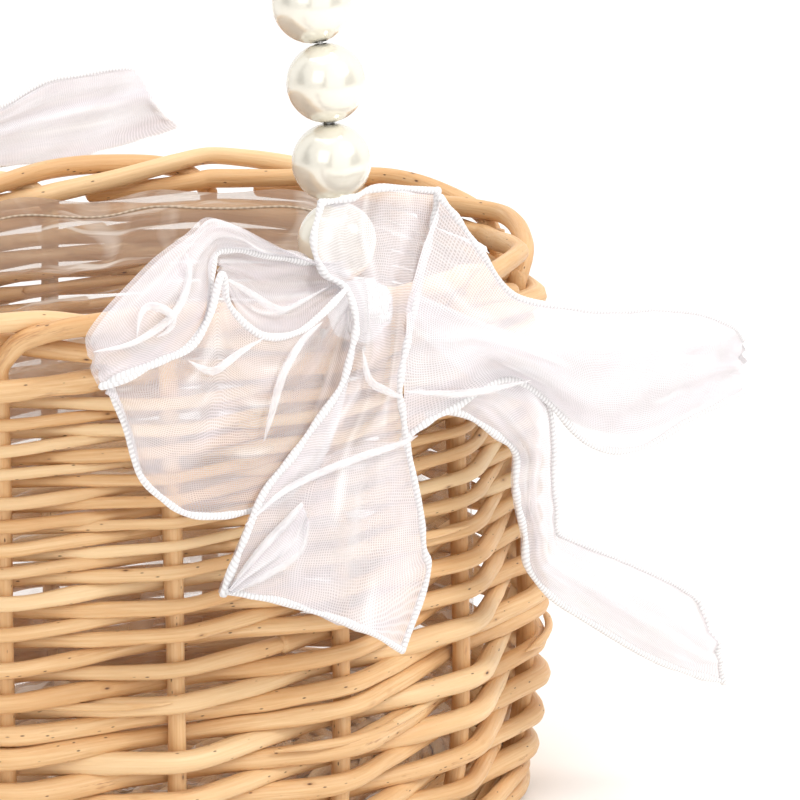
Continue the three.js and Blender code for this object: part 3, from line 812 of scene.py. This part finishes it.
LOOP_RIGHT_BACK = [
    [(111, -80, 101), (109, -82, 98), (108, -83, 94), (109, -82, 90)],
    [(110, -77, 102), (111, -78, 97), (108, -79, 92), (106, -79, 89)],
    [(101, -77, 101), (100, -78, 97), (98, -79, 92), (96, -79, 88)],
    [(85, -78, 104), (83, -79, 99), (81, -80, 93), (79, -80, 87)],
    [(68, -79, 106), (65, -80, 102), (64, -81, 97), (63, -81, 91)],
    [(49, -80, 111), (47, -81, 107), (47, -82, 103), (49, -82, 99)],
    [(30, -81, 119), (29, -82, 115), (29, -83, 111), (31, -83, 106)],
    [(11, -83, 128), (11, -83, 125), (12, -83, 122), (13, -83, 120)],
]
TAIL_RIGHT = [
    [(7, -90, 106), (13, -91, 109), (21, -90, 112)],
    [(15, -91, 105), (23, -93, 107), (35, -91, 110)],
    [(26, -91, 98), (30, -94, 100), (40, -91, 103)],
    [(32, -90, 93), (35, -93, 93), (43, -90, 93)],
    [(32, -90, 87), (36, -92, 87), (44, -89, 85)],
    [(34, -89, 81), (37, -91, 80), (46, -88, 78)],
    [(37, -88, 74), (40, -90, 74), (47, -87, 74)],
    [(38, -88, 67), (41, -90, 69), (50, -86, 71)],
    [(47, -87, 58), (50, -90, 63), (60, -85, 66)],
    [(62, -86, 48), (65, -89, 54), (76, -84, 58)],
    [(78, -85, 38), (81, -88, 45), (89, -83, 51)],
    [(92, -84, 31), (94, -86, 37), (95, -82, 47)],
    [(104, -83, 26), (100, -84, 35), (97, -82, 45)],
]
# The far bow's loop on the +X side stands up from its knot behind the border.
FAR_LOOP = [
    [(9, 85, 131), (8, 85, 129), (8, 85, 128)],
    [(31, 90, 132), (29, 89, 128), (27, 87, 125)],
    [(50, 93, 134), (47, 91, 129), (44, 88, 122)],
    [(64, 95, 137), (62, 92, 129), (56, 88, 121)],
    [(75, 95, 137), (72, 92, 129), (65, 88, 120)],
    [(84, 95, 137), (80, 92, 129), (74, 88, 121)],
    [(91, 95, 136), (88, 90, 130), (89, 88, 122)],
    [(92, 93, 133), (91, 88, 128), (97, 88, 123)],
]
# a turned-up corner near the end of the front tail
TAIL_CORNER = [
    [(-35, -98, 98), (-34, -99, 94)],
    [(-39, -98, 95), (-36, -98, 88)],
    [(-47, -98, 90), (-45, -98, 85)],
    [(-53, -97, 84), (-53, -97, 83)],
]
# folded edges that lie across each part of the bow
FOLD_LINES = {
    "loop_left": [
        [(-78, -99, 139), (-77, -99, 143), (-74, -98, 144), (-71, -99, 143), (-69, -99, 141),
         (-70, -99, 139), (-73, -99, 138)],
        [(-86, -96, 137), (-79, -99, 138), (-70, -99, 141), (-65, -98, 145), (-63, -97, 150),
         (-63, -96, 152)],
        [(-65, -99, 132), (-62, -100, 130), (-58, -99, 129), (-51, -98, 131), (-43, -96, 132)],
        [(-24, -92, 131), (-31, -94, 129), (-38, -96, 124), (-42, -97, 117), (-44, -97, 112)],
        [(-54, -96, 146), (-42, -90, 140), (-34, -89, 135), (-29, -88, 134), (-15, -84, 135)]],
    "tail_left": [
        [(-49, -97, 96), (-38, -97, 101), (-21, -96, 103), (-5, -94, 103), (2, -92, 103)],
        [(-35, -98, 98), (-39, -98, 95), (-47, -98, 90), (-53, -97, 84)],
        [(-34, -99, 94), (-36, -98, 88), (-45, -98, 85), (-53, -97, 83)],
        [(-15, -94, 124), (-14, -95, 118), (-7, -93, 114), (-3, -93, 112)]],
    "loop_right": [
        [(-2, -93, 113), (14, -94, 110), (30, -96, 110)]],
    "tail_right": [],
}
HALF_TURN = np.array([-1, -1, 1])
HEM_R = 0.72
RIBBON_WIDTH = 40.0
PLEAT_DEPTH = 0.5
PATCH_STEPS = 8


def patch(rows_of_points, turned, seed, density):
    """A rounded, lightly pleated strip of ribbon, with its weave coordinates and creases."""
    p = np.array(rows_of_points, float)
    if turned:
        p = p * HALF_TURN
    p = spline(p, PATCH_STEPS)
    p = np.swapaxes(spline(np.swapaxes(p, 0, 1), PATCH_STEPS), 0, 1)
    middle = p[:, p.shape[1] // 2]
    v = np.concatenate([[0], np.cumsum(np.linalg.norm(np.diff(middle, axis=0), axis=1))])
    u = np.linspace(0, RIBBON_WIDTH, p.shape[1])
    coords = np.stack(np.broadcast_arrays(u[None, :], v[:, None], 0.0), -1)
    normal = np.cross(np.gradient(p, axis=0), np.gradient(p, axis=1))
    normal /= np.maximum(np.linalg.norm(normal, axis=2), 1e-9)[:, :, None]
    soft = np.sin(np.pi * u / RIBBON_WIDTH)[None, :]
    pleat = ripple(u[None, :] * 0.28 + v[:, None] * 0.03, seed, 6, 0.5, 2.6)
    sway = ripple(v[:, None] * 0.22 + u[None, :] * 0.1, seed + 1, 5, 0.4, 2.2)
    line = ripple(u[None, :] * 0.34 + v[:, None] * 0.012, seed + 2, 4, 0.5, 1.4)
    fade = np.clip(0.5 + 0.5 * ripple(v[:, None] * 0.09 + u[None, :] * 0.05, seed + 3, 3), 0, 1)
    ridge = np.exp(-(line / 0.3) ** 2) * fade * soft
    cloudy = np.clip(ripple(u[None, :] * 0.1 + v[:, None] * 0.06, seed + 4, 4), 0, 1)
    tone = np.zeros(p.shape[:2] + (4,))
    tone[..., 0] = ridge
    tone[..., 1] = cloudy * 0.6 + density
    tone[..., 3] = 1
    return p + normal * ((pleat + 0.6 * sway) * soft * PLEAT_DEPTH)[:, :, None], coords, tone


def layer(rows_of_points, gap):
    """The same strip again, gap mm further towards +Y: a folded-over layer of the ribbon."""
    return [[(x, y + gap, z) for x, y, z in row] for row in rows_of_points]


def make_bow(end, turned, far_bow=False):
    """Four sheets of ribbon with their hems and folds. The far bow has its own left loop."""
    # each patch with its seed and how much denser than one layer it looks
    parts = {"loop_left": [(LOOP_TOP, 11, 0.4), (LOOP_FRONT, 12, 0.0), (LOOP_INNER, 13, 0.2),
                           (layer(LOOP_TOP, 1.5), 21, 0.0),
                           (layer(LOOP_INNER, 1.4), 22, 0.0)],
             "loop_right": [(LOOP_RIGHT_FRONT, 14, 0.9), (LOOP_RIGHT_BACK, 15, 0.2),
                            (layer(LOOP_RIGHT_BACK, 1.3), 23, 0.0),
                            (layer(LOOP_RIGHT_BACK, 2.6), 24, 0.0)],
             "tail_left": [(FRONT_TAIL, 16, 0.2), (TAIL_CORNER, 19, 1.0),
                           (layer(FRONT_TAIL[-6:], 1.3), 20, 0.0)],
             "tail_right": [(TAIL_RIGHT, 17, 0.6), (layer(TAIL_RIGHT, 1.4), 25, 0.0)]}
    if far_bow:
        parts["loop_left"] = [(FAR_LOOP, 18, 1.0), (layer(FAR_LOOP, -1.3), 26, 0.0),
                              (layer(FAR_LOOP, -2.6), 27, 0.0)]
    hems = {"loop_left": [(0, "right"), (1, "left"), (1, "right")],
            "loop_right": [(0, "left"), (0, "right"), (1, "left"), (1, "right")],
            "tail_left": [(0, "left"), (0, "right"), (0, "first"), (0, "last")],
            "tail_right": [(0, "left"), (0, "right"), (0, "last")]}
    if far_bow:
        hems["loop_left"] = [(0, "left"), (0, "right"), (0, "last")]
    for part, patches in parts.items():
        sheet, hem, folds = Build(), Build(), Build()
        made = []
        far = far_bow and part == "loop_left"
        for rows_of_points, seed, density in patches:
            p, coords, tone = patch(rows_of_points, turned and not far, seed, density)
            made.append(p)
            sheet.grid(p, coords, tone.reshape(-1, 4))
        for which, edge in hems[part]:
            p = made[which]
            line = {"left": p[:, 0], "right": p[:, -1], "first": p[0], "last": p[-1]}[edge]
            hem.tube(line, HEM_R * (1 + 0.12 * ripple(np.arange(len(line)) * 0.3, 70 + which)),
                     8, PLAIN)
        if not far:
            for line in FOLD_LINES[part]:
                line = spline(line, 6)
                size = 0.85 * np.sin(np.linspace(0.06, math.pi - 0.06, len(line))) ** 0.8
                folds.tube(line * HALF_TURN if turned else line, size, 8, (0.3, 0.2, 0, 1))
        piece = sheet.make(f"{end}_ribbon_{part}", ribbon_material)
        settle(piece, "basket", f"{end}_bow_{part}")
        edge_piece = hem.make(f"{end}_hem_{part}", hem_material)
        settle(edge_piece, "basket")
        if folds.verts:
            fold_piece = folds.make(f"{end}_folds_{part}", fold_material)
            settle(fold_piece, "basket")


def make_knot(end, turned):
    """The knot: a crumpled ball of ribbon with folds running round it."""
    sides, rings = 48, 30
    verts, faces = [], []
    for i in range(rings + 1):
        tip = math.pi * (0.02 + 0.96 * i / rings)
        for j in range(sides):
            a = 2 * math.pi * j / sides
            fold = 1 + 0.07 * math.sin(5 * a + 3 * tip) + 0.05 * math.sin(11 * a - 4 * tip)
            fold += 0.04 * math.sin(17 * a + 7 * tip)
            verts.append((-6.5 + 7.6 * math.cos(tip),
                          -84.4 + 4.9 * math.sin(tip) * math.cos(a) * fold,
                          129 + 6.2 * math.sin(tip) * math.sin(a) * fold))
    for i in range(rings):
        for j in range(sides):
            b = (j + 1) % sides
            faces.append((i * sides + j, i * sides + b, (i + 1) * sides + b, (i + 1) * sides + j))
    faces.append(tuple(range(sides))[::-1])
    faces.append(tuple(rings * sides + j for j in range(sides)))
    verts = np.array(verts)
    if turned:
        verts = verts * HALF_TURN
    build = Build()
    build.add(verts, faces, verts, PLAIN)
    piece = build.make(f"{end}_ribbon_knot", knot_material)
    settle(piece, "basket", f"{end}_bow_knot")


knot_material = organza("organza_gathered", 0.72, 0.45)
make_knot("front", False)
make_bow("front", False)
make_knot("back", True)
make_bow("back", True, far_bow=True)

# ---------------------------------------------------------------- stage, lights and camera
floor_mesh = bpy.data.meshes.new("floor")
reach = 6.0
floor_mesh.from_pydata([(-reach, -reach, 0), (reach, -reach, 0), (reach, reach, 0),
                        (-reach, reach, 0)], [], [(0, 1, 2, 3)])
floor_mesh.materials.append(floor_paint())
floor = bpy.data.objects.new("floor", floor_mesh)
bpy.context.collection.objects.link(floor)

scene = bpy.context.scene
scene.view_settings.view_transform = "Standard"
scene.view_settings.look = "None"
world = bpy.data.worlds.new("studio")
scene.world = world
world.use_nodes = True
sky = world.node_tree
facing = sky.nodes.new("ShaderNodeTexCoord").outputs["Generated"]


def sky_math(operation, *values):
    made = sky.nodes.new("ShaderNodeMath")
    made.operation = operation
    for i, value in enumerate(values):
        if isinstance(value, bpy.types.NodeSocket):
            sky.links.new(value, made.inputs[i])
        else:
            made.inputs[i].default_value = value
    return made.outputs[0]


def sky_window(value, low, high, edge):
    """1 between two limits, falling to 0 over edge outside each."""
    rise = sky_math("MULTIPLY", sky_math("SUBTRACT", value, low - edge), 1 / edge)
    fall = sky_math("MULTIPLY", sky_math("SUBTRACT", high + edge, value), 1 / edge)
    both = sky_math("MINIMUM", sky_math("MINIMUM", rise, fall), 1.0)
    return sky_math("MAXIMUM", both, 0.0)


axes = sky.nodes.new("ShaderNodeSeparateXYZ")
sky.links.new(facing, axes.inputs[0])
view_side = math.radians(-44.1)
sideways = sky_math("ADD", sky_math("MULTIPLY", axes.outputs[0], math.cos(view_side)),
                    sky_math("MULTIPLY", axes.outputs[1], math.sin(view_side)))
frontways = sky_math("ADD", sky_math("MULTIPLY", axes.outputs[0], math.sin(view_side)),
                     sky_math("MULTIPLY", axes.outputs[1], -math.cos(view_side)))
# soft boxes left and right of the camera, dark walls at the sides, white above
box_left = sky_math("MULTIPLY", sky_window(sideways, -0.85, -0.28, 0.08),
                    sky_window(frontways, 0.1, 1.1, 0.1))
box_right = sky_math("MULTIPLY", sky_window(sideways, 0.08, 0.80, 0.06),
                     sky_window(frontways, 0.1, 1.1, 0.1))
over = sky_window(axes.outputs[2], 0.80, 1.2, 0.25)
behind = sky_window(frontways, -1.2, -0.25, 0.3)
level = sky_math("ADD", sky_math("MULTIPLY", box_left, 0.75), sky_math("MULTIPLY", box_right, 1.1))
level = sky_math("MAXIMUM", level, sky_math("MULTIPLY", over, 0.9))
level = sky_math("MAXIMUM", level, sky_math("MULTIPLY", behind, 0.95))
level = sky_math("MULTIPLY", sky_math("ADD", level, 0.38), 0.80)
sky.nodes["Background"].inputs[0].default_value = (1.0, 0.99, 0.975, 1)
sky.links.new(level, sky.nodes["Background"].inputs[1])


def area_light(name, place, target, size, power, colour=(1, 1, 1)):
    data = bpy.data.lights.new(name, "AREA")
    data.shape = "RECTANGLE"
    data.size, data.size_y = size
    data.energy = power
    data.color = colour
    lamp = bpy.data.objects.new(name, data)
    bpy.context.collection.objects.link(lamp)
    lamp.location = place
    direction = Vector(target) - Vector(place)
    lamp.rotation_euler = direction.to_track_quat("-Z", "Y").to_euler()
    return lamp


area_light("key", (0.55, -1.25, 1.25), (0, 0, 0.1), (0.5, 0.6), 13, (1, 0.98, 0.95))
area_light("fill", (-1.3, -0.6, 0.9), (0, 0, 0.1), (0.9, 0.9), 3, (0.97, 0.98, 1))
area_light("top", (0.0, 0.2, 1.6), (0, 0, 0.1), (1.2, 1.2), 7)

CAM_AZ, CAM_EL, CAM_ROLL = map(math.radians, (-44.076, 15.355, 0.254))
CAM_DISTANCE, CAM_TARGET = 1.17473, Vector((0.08177, -0.00458, 0.07790))
CAM_LENS = 238.06
back = Vector((math.sin(CAM_AZ) * math.cos(CAM_EL), -math.cos(CAM_AZ) * math.cos(CAM_EL),
               math.sin(CAM_EL)))
right = Vector((math.cos(CAM_AZ), math.sin(CAM_AZ), 0))
up = back.cross(right)
cam_x = right * math.cos(CAM_ROLL) + up * math.sin(CAM_ROLL)
cam_y = -right * math.sin(CAM_ROLL) + up * math.cos(CAM_ROLL)
camera_data = bpy.data.cameras.new("camera")
camera_data.sensor_width = 36
camera_data.lens = CAM_LENS
camera_data.clip_start, camera_data.clip_end = 0.05, 30
camera = bpy.data.objects.new("camera", camera_data)
bpy.context.collection.objects.link(camera)
turned_axes = Matrix((cam_x, cam_y, back)).transposed().to_4x4()
camera.matrix_world = Matrix.Translation(CAM_TARGET + back * CAM_DISTANCE) @ turned_axes
scene.camera = camera
